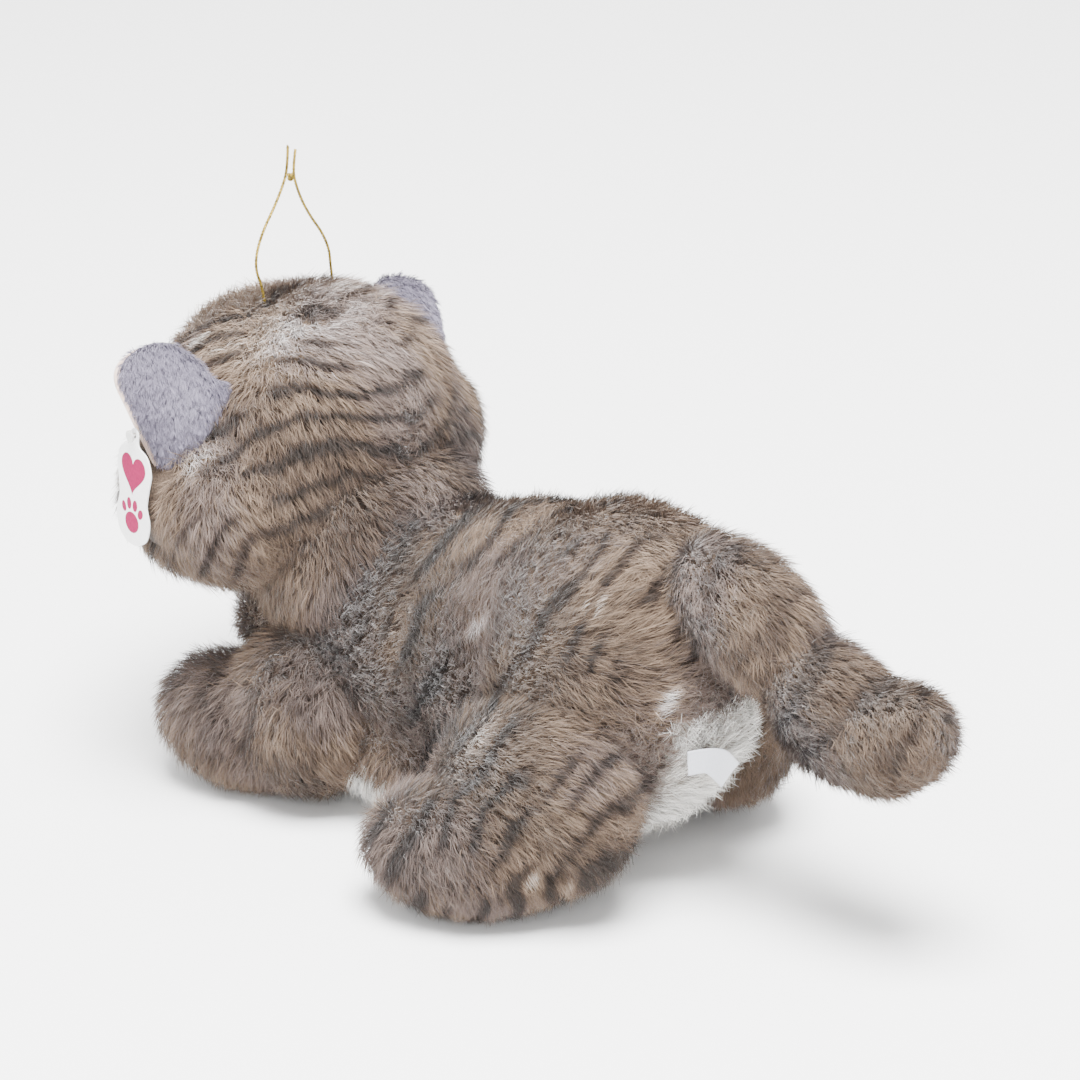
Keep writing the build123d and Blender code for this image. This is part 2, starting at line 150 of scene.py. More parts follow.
def spline_points(route):
    """Points along the smooth line that a cord's route gives, in millimetres."""
    curve = bpy.data.curves.new("route", "CURVE")
    curve.dimensions = "3D"
    line = curve.splines.new("NURBS")
    line.points.add(len(route) - 1)
    for point, place in zip(line.points, route):
        point.co = (*[c * MM for c in place], 1)
    line.order_u = 3
    line.use_endpoint_u = True
    line.resolution_u = 24
    holder = add_object("route", curve)
    flat = bpy.data.meshes.new_from_object(holder)
    found = [np.array(v.co) / MM for v in flat.vertices]
    bpy.data.objects.remove(holder)
    bpy.data.meshes.remove(flat)
    bpy.data.curves.remove(curve)
    return evenly(found, CORD_SPACING)


def material(name):
    """A material and its nodes, links and Principled shader."""
    made = bpy.data.materials.new(name)
    made.use_nodes = True
    nodes = made.node_tree.nodes
    links = made.node_tree.links
    shader = nodes["Principled BSDF"]
    return made, nodes, links, shader


# ---- hanging loop: two legs of twisted gold thread and their knot ----
CORD_R = 0.6
PLIES = 2
PLY_R = 0.33
PLY_PITCH = 2.4
LOOP_Y = -114.0
KNOT = np.array((-0.3, LOOP_Y, 221.0))
KNOT_R = 1.35
KNOT_THREAD_R = 0.5
LOOP_ROUTES = {
    "left": [(14.8, 175.5), (16, 183), (19.2, 190), (18.5, 197), (14.5, 204.5), (9, 211), (4.3, 217.8),
             (1.2, 224), (0.8, 233)],
    "right": [(-21.5, 174.5), (-20.5, 181.5), (-20, 188), (-16.3, 195.5), (-11.2, 202), (-6.6, 209),
              (-3.4, 216), (-1.4, 223), (-3.2, 230.5)],
}


def twisted(path):
    """Points and faces of thread plies twisted round a path."""
    path = np.asarray(path, float)
    ahead = unit(np.gradient(path, axis=0))
    along = np.concatenate([[0], np.cumsum(np.linalg.norm(np.diff(path, axis=0), axis=1))])
    side = unit(np.cross(ahead, np.array([[0.0, 1.0, 0.0]])))
    other = np.cross(ahead, side)
    points = []
    faces = []
    for ply in range(PLIES):
        angle = 2 * math.pi * (along / PLY_PITCH + ply / PLIES)
        offset = (CORD_R - PLY_R) * (np.cos(angle)[:, None] * side + np.sin(angle)[:, None] * other)
        more, rings = tube(path + offset, PLY_R)
        faces += [tuple(len(points) + i for i in face) for face in rings]
        points += more
    return points, faces


def gold_material():
    """Metallic thread: brass-gold, with painted glints as brighter and darker flecks in its colour."""
    made, nodes, links, shader = material("gold_thread")
    place = nodes.new("ShaderNodeTexCoord")
    # painted glints: a fine noise makes the thread's colour brighter and darker in flecks
    painted_glints = nodes.new("ShaderNodeTexNoise")
    painted_glints.inputs["Scale"].default_value = 900
    links.new(place.outputs["Object"], painted_glints.inputs["Vector"])
    shade = nodes.new("ShaderNodeValToRGB")
    shade.color_ramp.elements[0].position = 0.35
    shade.color_ramp.elements[0].color = (0.08, 0.052, 0.006, 1)
    shade.color_ramp.elements[1].position = 0.62
    shade.color_ramp.elements[1].color = (0.42, 0.30, 0.055, 1)
    links.new(painted_glints.outputs["Fac"], shade.inputs["Fac"])
    links.new(shade.outputs["Color"], shader.inputs["Base Color"])
    shader.inputs["Metallic"].default_value = 0.85
    shader.inputs["Roughness"].default_value = 0.35
    return made


GOLD = gold_material()
turns = np.linspace(0, 2 * math.pi, 120)
knot_path = np.stack([
    np.sin(turns) + 2 * np.sin(2 * turns),
    0.9 * np.sin(3 * turns),
    np.cos(turns) - 2 * np.cos(2 * turns),
], axis=1) * (KNOT_R / 3) + KNOT
loop_knot = add_object("loop_knot_thread", mesh_of("loop_knot_thread", *tube(knot_path, KNOT_THREAD_R)))
loop_knot.data.materials.append(GOLD)
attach(loop_knot, "head")
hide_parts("loop_knot")
for side, route in LOOP_ROUTES.items():
    line = spline_points([(x, LOOP_Y, z) for x, z in route])
    thread = add_object(f"loop_thread_{side}", mesh_of(f"loop_thread_{side}", *twisted(line)))
    thread.data.materials.append(GOLD)
    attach(thread, "head")
    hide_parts(f"loop_leg_{side}")


# ---- skins: closed forms of overlapping ovals, one for each body that bends ----
def oval(centre, radii, yaw=0, pitch=0):
    """An oval in millimetres, turned about X by pitch and then about Z by yaw, in degrees."""
    turn = Matrix.Rotation(math.radians(yaw), 3, "Z") @ Matrix.Rotation(math.radians(pitch), 3, "X")
    return {"centre": np.array(centre, float), "radii": np.array(radii, float), "turn": np.array(turn)}


def mirrored(ovals):
    """The same ovals on the cat's other side."""
    flipped = []
    for shape in ovals:
        turn = shape["turn"].copy()
        turn[0, :] *= -1
        turn[:, 0] *= -1
        centre = shape["centre"] * (-1, 1, 1)
        flipped.append({"centre": centre, "radii": shape["radii"], "turn": turn})
    return flipped


def depth_in(points, ovals):
    """How deep each point lies in a group of ovals, in millimetres; negative outside."""
    deepest = np.full(len(points), -1e9)
    for shape in ovals:
        local = (points - shape["centre"]) @ shape["turn"]
        share = np.linalg.norm(local / shape["radii"], axis=1)
        deepest = np.maximum(deepest, (1 - share) * shape["radii"].min())
    return deepest


VOXEL = 3.0
SMOOTH_ROUNDS = 6
SKIN_LOWEST = 0.8


def skin(name, ovals):
    """One closed skin round a group of ovals, flat where it meets the floor."""
    form = bmesh.new()
    for shape in ovals:
        ball = bmesh.ops.create_icosphere(form, subdivisions=5, radius=1)
        place = Matrix.Translation(Vector(shape["centre"])) @ Matrix(shape["turn"]).to_4x4()
        place = place @ Matrix.Diagonal((*shape["radii"], 1))
        bmesh.ops.transform(form, matrix=Matrix.Scale(MM, 4) @ place, verts=ball["verts"])
    mesh = bpy.data.meshes.new(name)
    form.to_mesh(mesh)
    form.free()
    made = add_object(name, mesh)
    remesh = made.modifiers.new("remesh", "REMESH")
    remesh.mode = "VOXEL"
    remesh.voxel_size = VOXEL * MM
    smooth = made.modifiers.new("smooth", "SMOOTH")
    smooth.factor = 0.5
    smooth.iterations = SMOOTH_ROUNDS
    smoothed = made.evaluated_get(bpy.context.evaluated_depsgraph_get())
    final = bpy.data.meshes.new_from_object(smoothed)
    made.modifiers.clear()
    made.data = final
    for vertex in final.vertices:
        vertex.co.z = max(vertex.co.z, SKIN_LOWEST * MM)
    final.shade_smooth()
    return made


HEAD_OVALS = [
    oval((0, -107.5, 126.5), (59, 47.5, 50)),
    oval((21.5, -110, 112), (55, 43.5, 35.5)),
    oval((-21.5, -110, 112), (55, 43.5, 35.5)),
    oval((0, -124, 124), (46, 41, 48)),
]
FACE_OVAL = HEAD_OVALS[-1]
MUZZLE_OVALS = [
    oval((9.5, -157, 107), (15, 13, 12)),
    oval((-9.5, -157, 107), (15, 13, 12)),
    oval((0, -152, 98), (13, 12, 10)),
]
MUZZLE_CENTRE = (0, -140, 107)
NECK_OVALS = [oval((0, -75, 86), (47, 40, 40), 0, -40)]
TORSO_OVALS = [
    oval((0, 40, 72), (52, 49, 57)),
    oval((0, 4, 66), (49, 52, 53)),
    oval((0, -38, 62), (46, 56, 48)),
    oval((0, -62, 56), (42, 34, 44)),
    oval((0, -32, 25), (46, 56, 27)),
    oval((0, -92, 60), (42, 32, 24)),
]
FRONT_LEG_OVALS = [oval((48, -98, 26), (19.5, 33, 23.5), 10), oval((42, -72, 36), (24, 28, 30))]
REAR_LEG_LEFT_OVALS = [oval((70, 32, 25), (22, 36, 22), 29), oval((52, 46, 42), (23, 36, 34), 10)]
REAR_LEG_RIGHT_OVALS = mirrored([
    oval((60, 34, 25), (21, 34, 21), 26),
    oval((46, 48, 40), (22, 34, 32), 10),
])
TAIL_ROOT_OVALS = [oval((0, 99, 107.5), (18, 33, 18), 0, -31)]
TAIL_TIP_OVALS = [
    oval((0, 136, 83), (18, 28, 18), 0, -32),
    oval((0, 156, 79), (17, 18, 17), 0, 10),
    oval((0, 166, 83), (14, 13, 14)),
]
EVERY_FORM = {
    "torso": TORSO_OVALS,
    "neck": NECK_OVALS,
    "head": HEAD_OVALS + MUZZLE_OVALS,
    "tail_root": TAIL_ROOT_OVALS,
    "tail_tip": TAIL_TIP_OVALS,
    "front_leg_left": FRONT_LEG_OVALS,
    "front_leg_right": mirrored(FRONT_LEG_OVALS),
    "rear_leg_left": REAR_LEG_LEFT_OVALS,
    "rear_leg_right": REAR_LEG_RIGHT_OVALS,
}
REPLACED = {
    "torso": ["back_panel", "belly_panel", "torso_stuffing"],
    "neck": ["neck_cover", "neck_stuffing"],
    "head": ["head_back_panel", "face_panel", "head_stuffing", "muzzle_cover", "muzzle_stuffing",
             "eye_washer_left", "eye_washer_right"],
}
for part in EVERY_FORM:
    REPLACED.setdefault(part, [f"{part}_cover", f"{part}_stuffing"])


# ---- where the ears and the hang tag sit ---------
# the ends of each ear's seam, upper and lower, and a point near its tip
EAR_PLACES = {
    "left": ((54, -101, 164), (70, -112, 133), (77, -127, 168)),
    "right": ((-53, -126, 154.5), (-68, -102, 132.5), (-88.5, -125, 150.5)),
}
TAG_HOLE = np.array((76.5, -121.2, 141.5))
TAG_OUT = unit(np.array([[0.97, -0.24, 0.0]]))[0]
TAG_RIGHT = np.cross((0, 0, 1), TAG_OUT)


def ear_frame(side):
    """The middle of an ear's seam, and the ways down the seam, up the ear and out of its back."""
    top, low, tip = (np.array(place, float) for place in EAR_PLACES[side])
    down = unit((low - top)[None])[0]
    back = unit(np.cross(tip - top, down)[None])[0] * (1 if side == "left" else -1)
    rise = np.cross(down, back) * (1 if side == "left" else -1)
    return (top + low) / 2, down, rise, back


# ---- the fabric's pattern, with painted light and shade ---
# tone runs from 0, the darkest brown stripe, to 1, the palest fur; cool is 1 where the grey is lavender
# the body's stripes lie across one direction, and the head's are rings round an axis through a point
BODY_ACROSS = np.array((-0.38, 0.78, -0.5))
BODY_PERIOD = 11.0
TAIL_PERIOD = 24.0
LEG_PERIOD = 22.0
HEAD_PERIOD = 10.0
HEAD_RINGS = np.array((19, -62, 59))
HEAD_AXIS = np.array((0.705, 0.592, 0.391))
# where pale patches lie, and how wide each is
PALE_SPOTS = [
    ((68, -97, 134), 13), ((38, -127, 164), 6), ((45, 14, 95), 8), ((36, 60, 113), 8), ((70, 38, 72), 11),
    ((27, 86, 81), 8), ((75, 64, 23), 7), ((63, 70, 16), 6), ((-58, 30, 88), 10),
]
# the shaded fold behind the cheek
NAPE = np.array((32, -52, 106))


def bands(where):
    """Narrow dark bands from a coordinate counted in periods."""
    return step(0.6, 0.92, 0.5 + 0.5 * np.cos(2 * math.pi * where))


def pattern(points, part):
    """Tone and coolness of the fabric at each point of a part, with painted light and shade: paler towards the
    top, darker low down and in the fold behind the cheek.
    """
    x, y, z = points.T
    wander = 0.35 * smooth_noise(points, 60, 3) + 0.12 * smooth_noise(points, 20, 4)
    level = 0.6
    flip = np.where(x[:, None] < 0, (-1, 1, 1), (1, 1, 1))
    across = BODY_ACROSS * flip
    if part == "head":
        spoke = points * flip - HEAD_RINGS
        spoke = spoke - (spoke @ HEAD_AXIS)[:, None] * HEAD_AXIS
        across = unit(spoke) * flip
        where = np.linalg.norm(spoke, axis=1) / HEAD_PERIOD
        strength = 0.4 + 0.14 * step(135, 160, z)
        # painted light: the top of the head is paler, as if lit from above
        level = 0.52 + 0.22 * step(140, 172, z)
    elif part.startswith("tail"):
        where = (y - 0.6 * z) / TAIL_PERIOD
        strength = 0.2
        level = 0.48
    elif part.startswith("front"):
        where = (y - 0.2 * z) / LEG_PERIOD
        strength = 0.14
        # painted shade: the front legs, low down under the chest, are darker
        level = 0.44
    elif part == "neck":
        where = 0 * x
        strength = 0
    else:
        where = (points * across).sum(axis=1) / BODY_PERIOD
        strength = 0.38 * step(-60, -20, y) + 0.06
        # painted light and shade: the body is paler towards its top and darker low down
        level = 0.43 + 0.12 * step(20, 130, z)
    broken = step(-0.7, -0.05, smooth_noise(points, 34, 5))
    tone = level - strength * broken * bands(where + wander)
    tone += 0.06 * smooth_noise(points, 45, 6) + 0.04 * smooth_noise(points, 14, 7)
    # painted shade in the fold behind the cheek
    folded = np.linalg.norm(np.stack([np.abs(x), y, z], axis=1) - NAPE, axis=1)
    tone -= 0.3 * (1 - step(6, 44, folded))
    for spot, size in PALE_SPOTS:
        away = points - np.array(spot, float)
        squeezed = np.sqrt((away**2).sum(axis=1) + 4 * (away * across).sum(axis=1) ** 2)
        tone += 0.4 * (1 - step(size * 0.4, size * 1.25, squeezed))
    cool = step(-0.2, 0.8, smooth_noise(points, 50, 8))
    return np.clip(tone, 0.02, 0.98), cool


# ---- materials -----------------------------------
def ramp(nodes, stops):
    """A colour ramp with linear-light stops given as 0-255 sRGB."""
    made = nodes.new("ShaderNodeValToRGB")
    elements = made.color_ramp.elements
    while len(elements) < len(stops):
        elements.new(0.5)
    for element, (place, colour) in zip(elements, stops):
        element.position = place
        element.color = (*[linear(c) for c in colour], 1)
    return made


def linear(value):
    """One sRGB value, 0-255, as linear light."""
    c = value / 255
    return c / 12.92 if c <= 0.04045 else ((c + 0.055) / 1.055) ** 2.4


WARM = [(0.0, (36, 27, 21)), (0.3, (70, 54, 43)), (0.6, (126, 105, 87)), (0.8, (156, 135, 117)),
        (1.0, (230, 224, 218))]
COOL = [(0.0, (38, 31, 28)), (0.3, (70, 57, 52)), (0.6, (121, 104, 95)), (0.8, (150, 134, 127)),
        (1.0, (228, 224, 223))]
WHITE = [(0.0, (150, 140, 128)), (0.4, (206, 199, 190)), (0.7, (230, 226, 219)), (1.0, (246, 244, 240))]
LAVENDER = [(0.0, (76, 71, 86)), (0.4, (112, 106, 124)), (0.7, (140, 134, 152)), (1.0, (178, 172, 188))]


def fur_material(name, warm, cool, root_dark, rough=0.75):
    """Strands: colour from tone across, darker at the root; the second half of V is the cool ramp."""
    made, nodes, links, shader = material(name)
    place = nodes.new("ShaderNodeUVMap")
    place.uv_map = "OFBake"
    split = nodes.new("ShaderNodeSeparateXYZ")
    links.new(place.outputs["UV"], split.inputs[0])
    first = ramp(nodes, warm)
    second = ramp(nodes, cool)
    links.new(split.outputs["X"], first.inputs["Fac"])
    links.new(split.outputs["X"], second.inputs["Fac"])
    twice = nodes.new("ShaderNodeMath")
    twice.operation = "MULTIPLY"
    twice.inputs[1].default_value = 2
    links.new(split.outputs["Y"], twice.inputs[0])
    along = nodes.new("ShaderNodeMath")
    along.operation = "FRACT"
    links.new(twice.outputs[0], along.inputs[0])
    is_cool = nodes.new("ShaderNodeMath")
    is_cool.operation = "GREATER_THAN"
    is_cool.inputs[1].default_value = 0.5
    links.new(split.outputs["Y"], is_cool.inputs[0])
    hue = nodes.new("ShaderNodeMix")
    hue.data_type = "RGBA"
    links.new(is_cool.outputs[0], hue.inputs["Factor"])
    links.new(first.outputs["Color"], hue.inputs["A"])
    links.new(second.outputs["Color"], hue.inputs["B"])
    shade = ramp(nodes, [(0.0, (root_dark,) * 3), (0.45, (225, 225, 225)), (0.9, (255, 255, 255))])
    links.new(along.outputs[0], shade.inputs["Fac"])
    product = nodes.new("ShaderNodeMix")
    product.data_type = "RGBA"
    product.blend_type = "MULTIPLY"
    product.inputs["Factor"].default_value = 1
    links.new(hue.outputs["Result"], product.inputs["A"])
    links.new(shade.outputs["Color"], product.inputs["B"])
    links.new(product.outputs["Result"], shader.inputs["Base Color"])
    shader.inputs["Roughness"].default_value = rough
    shader.inputs["Specular IOR Level"].default_value = 0.3
    shader.inputs["Sheen Weight"].default_value = 0.25
    shader.inputs["Sheen Roughness"].default_value = 0.5
    return made


def backing_material(name, stops):
    """The knitted backing and the dense under-pile, from the tone stored on its mesh."""
    made, nodes, links, shader = material(name)
    tone = nodes.new("ShaderNodeAttribute")
    tone.attribute_name = "tone"
    shade = ramp(nodes, stops)
    links.new(tone.outputs["Fac"], shade.inputs["Fac"])
    place = nodes.new("ShaderNodeTexCoord")
    fine = nodes.new("ShaderNodeTexNoise")
    fine.inputs["Scale"].default_value = 1400
    links.new(place.outputs["Object"], fine.inputs["Vector"])
    dark = ramp(nodes, [(0.3, (120, 120, 120)), (0.7, (230, 230, 230))])
    links.new(fine.outputs["Fac"], dark.inputs["Fac"])
    product = nodes.new("ShaderNodeMix")
    product.data_type = "RGBA"
    product.blend_type = "MULTIPLY"
    product.inputs["Factor"].default_value = 0.8
    links.new(shade.outputs["Color"], product.inputs["A"])
    links.new(dark.outputs["Color"], product.inputs["B"])
    links.new(product.outputs["Result"], shader.inputs["Base Color"])
    bump = nodes.new("ShaderNodeBump")
    bump.inputs["Strength"].default_value = 0.6
    bump.inputs["Distance"].default_value = 0.6 * MM
    links.new(fine.outputs["Fac"], bump.inputs["Height"])
    links.new(bump.outputs["Normal"], shader.inputs["Normal"])
    shader.inputs["Roughness"].default_value = 0.9
    return made


STRIPED = fur_material("striped_strands", WARM, COOL, 130)
WHITE_FUR = fur_material("white_strands", WHITE, WHITE, 175)
EAR_FUR = fur_material("ear_strands", LAVENDER, LAVENDER, 150)
STRIPED_BACKING = backing_material("striped_backing", WARM)
WHITE_BACKING = backing_material("white_backing", WHITE)
EAR_BACKING = backing_material("ear_backing", LAVENDER)


# ---- fur strands ---------------------------------
def surface(skin_object):
    """Triangle corners and corner normals of a skin, in millimetres."""
    mesh = skin_object.data
    mesh.calc_loop_triangles()
    count = len(mesh.loop_triangles)
    corners = np.empty(count * 3, np.int32)
    mesh.loop_triangles.foreach_get("vertices", corners)
    places = np.empty(len(mesh.vertices) * 3, np.float32)
    mesh.vertices.foreach_get("co", places)
    normals = np.empty(len(mesh.vertices) * 3, np.float32)
    mesh.vertices.foreach_get("normal", normals)
    places = places.reshape(-1, 3).astype(float) / MM
    normals = normals.reshape(-1, 3).astype(float)
    corners = corners.reshape(-1, 3)
    return places[corners], normals[corners]


def scatter(skin_object, count, rng):
    """Points spread evenly over a skin, with their normals."""
    corners, normals = surface(skin_object)
    sides = np.cross(corners[:, 1] - corners[:, 0], corners[:, 2] - corners[:, 0])
    area = np.linalg.norm(sides, axis=1)
    chosen = rng.choice(len(area), size=count, p=area / area.sum())
    a = rng.uniform(size=(count, 1))
    b = rng.uniform(size=(count, 1))
    over = (a + b) > 1
    a = np.where(over, 1 - a, a)
    b = np.where(over, 1 - b, b)
    weights = np.stack([1 - a - b, a, b], axis=1)
    points = (corners[chosen] * weights).sum(axis=1)
    directions = (normals[chosen] * weights).sum(axis=1)
    return points, unit(directions)


def tufted(points, rng, per_tuft):
    """The index of the strand that leads each strand's tuft."""
    leaders = rng.choice(len(points), size=max(1, len(points) // per_tuft), replace=False)
    tree = kdtree.KDTree(len(leaders))
    for slot, leader in enumerate(leaders):
        tree.insert(points[leader], slot)
    tree.balance()
    return leaders[np.array([tree.find(p)[1] for p in points])]


# the shares of a strand's length where its root, middle and tip take their tone from the pattern
TONE_AT = (0.4, 0.65, 0.9)
TONE_VARIES = 0.06
TONE_VARIES_BY_TUFT = 0.03
ROOT_DEPTH = 0.8
MIDDLE_UP = 0.62
MIDDLE_OUT = 0.34
MIDDLE_WIDTH = 0.85
MIDDLE_PULL = 0.4
LONGEST_PULL = 3.5
STRAND_LOWEST = 0.3
# each strand is a quad and a triangle, with these corners of its five points
STRAND_CORNERS = np.array([[0, 1, 3, 2, 2, 3, 4]])
STRAND_U = 0.003 * np.array([[-1, 1, 1, -1, -1, 1, 0]])
STRAND_V = np.array([[0.02, 0.02, 0.24, 0.24, 0.24, 0.24, 0.46]])
COOL_V = 0.5


def fur(name, body, skin_object, count, flow, tones, keep, fabric, length=8.6, lift=0.56,
        width=0.26, per_tuft=9, tuft_pull=0.2, scatter_tuft=0.2, scatter_strand=0.24, seed=0):
    """One mesh of fur strands rooted in a skin, leaning along a flow and drawn together in tufts."""
    rng = np.random.default_rng(seed)
    points, normals = scatter(skin_object, count, rng)
    kept = keep(points, normals)
    points = points[kept]
    normals = normals[kept]
    count = len(points)
    leader = tufted(points, rng, per_tuft)
    lean = flow(points)
    lean = lean + scatter_tuft * rng.normal(size=(count, 3))[leader]
    lean = lean + scatter_strand * rng.normal(size=(count, 3))
    lean = unit(lean - normals * (lean * normals).sum(axis=1, keepdims=True))
    size = length * rng.uniform(0.75, 1.15, (count, 1)) * (1 + 0.12 * rng.normal(size=(count, 1))[leader])
    rise = np.clip(lift + 0.1 * rng.normal(size=(count, 1)) + 0.08 * rng.normal(size=(count, 1))[leader],
                   0.2, 0.95)
    up = size * rise
    out = size * np.sqrt(1 - rise**2)
    root = points - normals * ROOT_DEPTH
    middle = points + normals * up * MIDDLE_UP + lean * out * MIDDLE_OUT
    tip = points + normals * up + lean * out
    pull = tuft_pull * rng.uniform(0.5, 1.0, (count, 1))
    shift = (tip[leader] - tip) * pull
    near = np.linalg.norm(shift, axis=1, keepdims=True)
    shift = shift * np.minimum(1, LONGEST_PULL / np.maximum(near, 1e-6))
    tip = tip + shift
    middle = middle + shift * MIDDLE_PULL
    side = np.cross(normals, lean)
    roll = 0.7 * rng.normal(size=(count, 1))
    side = unit(side * np.cos(roll) + normals * np.sin(roll))
    half = width * rng.uniform(0.7, 1.3, (count, 1)) / 2
    rows = np.stack([root - side * half, root + side * half, middle - side * half * MIDDLE_WIDTH,
                     middle + side * half * MIDDLE_WIDTH, tip], axis=1)
    rows[:, :, 2] = np.maximum(rows[:, :, 2], STRAND_LOWEST)
    low, middling, high = (tones(root + share * (tip - root)) for share in TONE_AT)
    own = TONE_VARIES * rng.normal(size=count)
    own = own + TONE_VARIES_BY_TUFT * rng.normal(size=count)[leader]
    tone = np.stack([low[0], low[0], *[middling[0]] * 4, high[0]], axis=1) + own[:, None]
    tone = np.clip(tone, 0.01, 0.99)
    is_cool = rng.uniform(size=count) < middling[1]

    mesh = bpy.data.meshes.new(name)
    mesh.vertices.add(count * 5)
    mesh.vertices.foreach_set("co", (rows * MM).astype(np.float32).ravel())
    corners = np.arange(count)[:, None] * 5 + STRAND_CORNERS
    mesh.loops.add(count * 7)
    mesh.loops.foreach_set("vertex_index", corners.astype(np.int32).ravel())
    mesh.polygons.add(count * 2)
    starts = np.arange(count)[:, None] * 7 + np.array([[0, 4]])
    mesh.polygons.foreach_set("loop_start", starts.astype(np.int32).ravel())
    mesh.update(calc_edges=True)
    mesh.shade_smooth()
    layer = mesh.uv_layers.new(name="OFBake")
    u = tone + STRAND_U
    v = np.where(is_cool, COOL_V, 0.0)[:, None] + STRAND_V
    layer.data.foreach_set("uv", np.stack([u, v], axis=2).astype(np.float32).ravel())
    made = add_object(name, mesh)
    mesh.materials.append(fabric)
    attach(made, body)
    return made


def paint_tone(skin_object, tones, darker):
    """Store the pattern on a skin's vertices, a little darker than its fur."""
    mesh = skin_object.data
    places = np.empty(len(mesh.vertices) * 3, np.float32)
    mesh.vertices.foreach_get("co", places)
    tone, _ = tones(places.reshape(-1, 3).astype(float) / MM)
    layer = mesh.attributes.new("tone", "FLOAT", "POINT")
    layer.data.foreach_set("value", (tone * darker).astype(np.float32))


# the pile leans in towards the spine, more so between these distances from the middle, and hangs down
# between these heights; its direction also wanders
INWARD = 0.6
SPINE = (8, 36)
LOW_DOWN = (18, 52)
SWIRL = 0.4


def flow_of(part):
    """The way a part's pile lies."""
    ways = {
        "head": (0, 0.5, -0.9), "neck": (0, 0.5, -0.9), "torso": (0, 0.7, 0.3),
        "tail_root": (0, 0.85, -0.5), "tail_tip": (0, 0.9, -0.2),
        "front_leg_left": (0.2, -0.3, -0.9), "front_leg_right": (-0.2, -0.3, -0.9),
        "rear_leg_left": (0, 1, -0.15), "rear_leg_right": (0, 1, -0.15),
    }
    way = np.array(ways[part], float)
    down = np.array((0, 0.2, -1.0))
    inward = np.array((-INWARD, 0, 0)) * (part == "torso" or part.startswith("rear"))

    def flow(points):
        swirl = np.stack([smooth_noise(points, 45, 20 + axis) for axis in range(3)], axis=1)
        low = 1 - step(*LOW_DOWN, points[:, 2:3])
        along = way + inward * np.sign(points[:, :1]) * step(*SPINE, np.abs(points[:, :1]))
        return along * (1 - low) + down * low + SWIRL * swirl
    return flow


BELLY_TOP = 24.0
BELLY_HALF_WIDTH = 47.0
TONGUE_TOP = 70.0
TONGUE_HALF_WIDTH = 24.0
TONGUE_START = 60.0


def is_white(points):
    """The white panel under the belly and its tongue up the rump."""
    x, y, z = points.T
    belly = (z < BELLY_TOP + 3 * smooth_noise(points, 30, 31)) & (np.abs(x) < BELLY_HALF_WIDTH)
    tongue = (y > TONGUE_START) & (z < TONGUE_TOP) & (np.abs(x) < TONGUE_HALF_WIDTH)
    return belly | tongue


NEIGHBOURS = {
    "torso": ["neck", "front_leg_left", "front_leg_right", "rear_leg_left", "rear_leg_right", "tail_root"],
    "neck": ["torso", "head", "front_leg_left", "front_leg_right"],
    "head": ["neck"],
    "tail_root": ["torso", "tail_tip"],
    "tail_tip": ["tail_root"],
    "front_leg_left": ["torso", "neck"],
    "front_leg_right": ["torso", "neck"],
    "rear_leg_left": ["torso"],
    "rear_leg_right": ["torso"],
}
# strands this deep in a neighbour, or underneath the cat within this height of the floor, are left out
BURIED = 7.0
UNDERNEATH = 2.5
FACING_DOWN = -0.7
# the room kept clear of pile round each ear's seam and behind the tag
EAR_CLEAR_ALONG = 20
EAR_CLEAR_BELOW = -4
EAR_CLEAR_OUT = 9
TAG_CLEAR_ACROSS = 12
TAG_CLEAR_TOP = 4
TAG_CLEAR_LOW = -42
TAG_CLEAR_BEHIND = -11


def clear_of_trims(points):
    """True away from the backs of the ears and from behind the hang tag, where the pile is pressed flat."""
    clear = np.ones(len(points), bool)
    for side in EAR_PLACES:
        seam, down, rise, out = ear_frame(side)
        along, up, above = ((points - seam) @ way for way in (down, rise, out))
        near = (np.abs(along) < EAR_CLEAR_ALONG) & (up > EAR_CLEAR_BELOW)
        clear &= ~(near & (np.abs(above) < EAR_CLEAR_OUT))
    away = points - TAG_HOLE
    across = away @ TAG_RIGHT
    near = (np.abs(across) < TAG_CLEAR_ACROSS) & (away @ TAG_OUT > TAG_CLEAR_BEHIND)
    clear &= ~(near & (away[:, 2] < TAG_CLEAR_TOP) & (away[:, 2] > TAG_CLEAR_LOW))
    return clear


def exposed(part, only=None):
    """A test that keeps strands whose roots aren't deep inside a neighbour."""
    def keep(points, normals):
        kept = np.ones(len(points), bool)
        for other in NEIGHBOURS[part]:
            kept &= depth_in(points, EVERY_FORM[other]) < BURIED
        kept &= ~((points[:, 2] < UNDERNEATH) & (normals[:, 2] < FACING_DOWN))
        if only is not None:
            kept &= only(points)
        return kept
    return keep


def striped(part):
    """The striped fabric on one part."""
    return lambda points: pattern(points, part)


def plain(level, spread):
    """A fabric of one colour, with soft variation."""
    def tones(points):
        tone = level + spread * smooth_noise(points, 25, 40)
        return np.clip(tone, 0.02, 0.98), np.zeros(len(points))
    return tones


